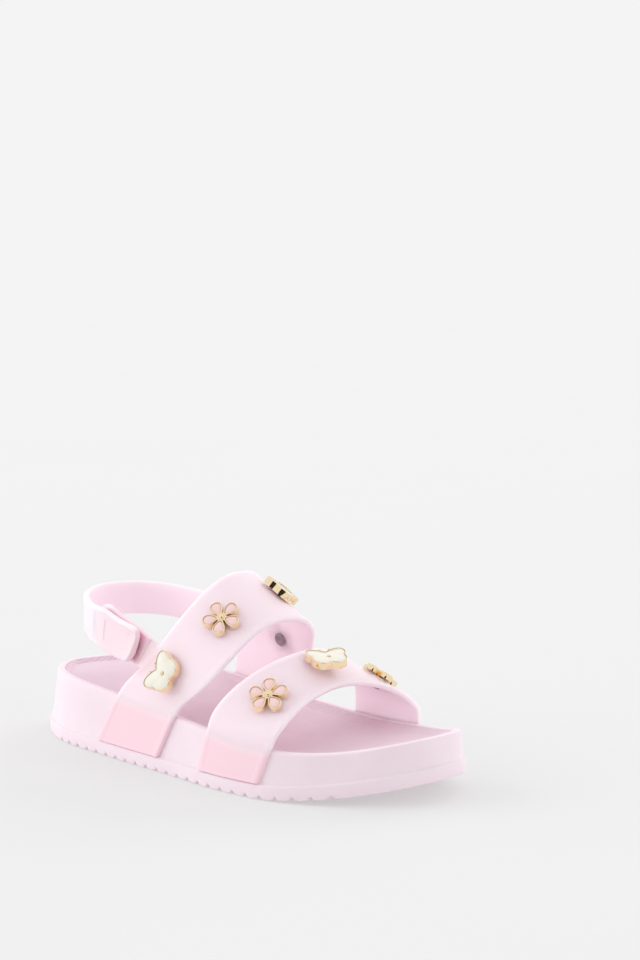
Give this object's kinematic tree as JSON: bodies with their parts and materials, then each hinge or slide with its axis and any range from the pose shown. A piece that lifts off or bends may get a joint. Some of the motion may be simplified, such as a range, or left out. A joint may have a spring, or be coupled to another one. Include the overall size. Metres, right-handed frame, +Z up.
{
  "type": "sandal",
  "caption": "Child's jelly sandal with arched translucent bands, a hook-and-loop heel strap, a cupped ribbed footbed and small flower and butterfly ornaments.",
  "frame": {"origin": "on the floor, under the middle of the sole's outline", "axes": "+X from the heel to the toe, +Y toward the inner (big toe) side, +Z up from the floor"},
  "size_m": [0.17, 0.0676, 0.063],
  "materials": {
    "sole_foam": "matt moulded sole, pale lilac pink",
    "insole_foam": "matt, finely ribbed along the foot",
    "jelly": "translucent soft jelly, pale pink",
    "pad_fabric": "hook and loop, rose pink",
    "gilt": "polished pale gilt",
    "pink_enamel": "glossy pale pink enamel",
    "ivory_enamel": "glossy ivory enamel",
    "rivet_metal": "dull grey metal"
  },
  "bodies": {
    "root": {"outsole": "sole_foam", "footbed": "sole_foam", "insole": "insole_foam", "rear_upper": "jelly", "front_band": "jelly", "loop_pad": "pad_fabric", "hook_pad": "pad_fabric", "rear_flower_1": "gilt", "rear_flower_1_rivet": "rivet_metal", "rear_flower_1_petal_1": "pink_enamel", "rear_flower_1_petal_2": "pink_enamel", "rear_flower_1_petal_3": "pink_enamel", "rear_flower_1_petal_4": "pink_enamel", "rear_flower_1_petal_5": "pink_enamel", "rear_flower_2": "gilt", "rear_flower_2_rivet": "rivet_metal", "rear_flower_2_petal_1": "pink_enamel", "rear_flower_2_petal_2": "pink_enamel", "rear_flower_2_petal_3": "pink_enamel", "rear_flower_2_petal_4": "pink_enamel", "rear_flower_2_petal_5": "pink_enamel", "front_flower_1": "gilt", "front_flower_1_rivet": "rivet_metal", "front_flower_1_petal_1": "pink_enamel", "front_flower_1_petal_2": "pink_enamel", "front_flower_1_petal_3": "pink_enamel", "front_flower_1_petal_4": "pink_enamel", "front_flower_1_petal_5": "pink_enamel", "front_flower_2": "gilt", "front_flower_2_rivet": "rivet_metal", "front_flower_2_petal_1": "pink_enamel", "front_flower_2_petal_2": "pink_enamel", "front_flower_2_petal_3": "pink_enamel", "front_flower_2_petal_4": "pink_enamel", "front_flower_2_petal_5": "pink_enamel", "rear_butterfly_1": "gilt", "rear_butterfly_1_enamel": "ivory_enamel", "rear_butterfly_1_rivet": "rivet_metal", "rear_butterfly_2": "gilt", "rear_butterfly_2_enamel": "ivory_enamel", "rear_butterfly_2_rivet": "rivet_metal", "front_butterfly_1": "gilt", "front_butterfly_1_enamel": "ivory_enamel", "front_butterfly_1_rivet": "rivet_metal"}
  },
  "joints": []
}
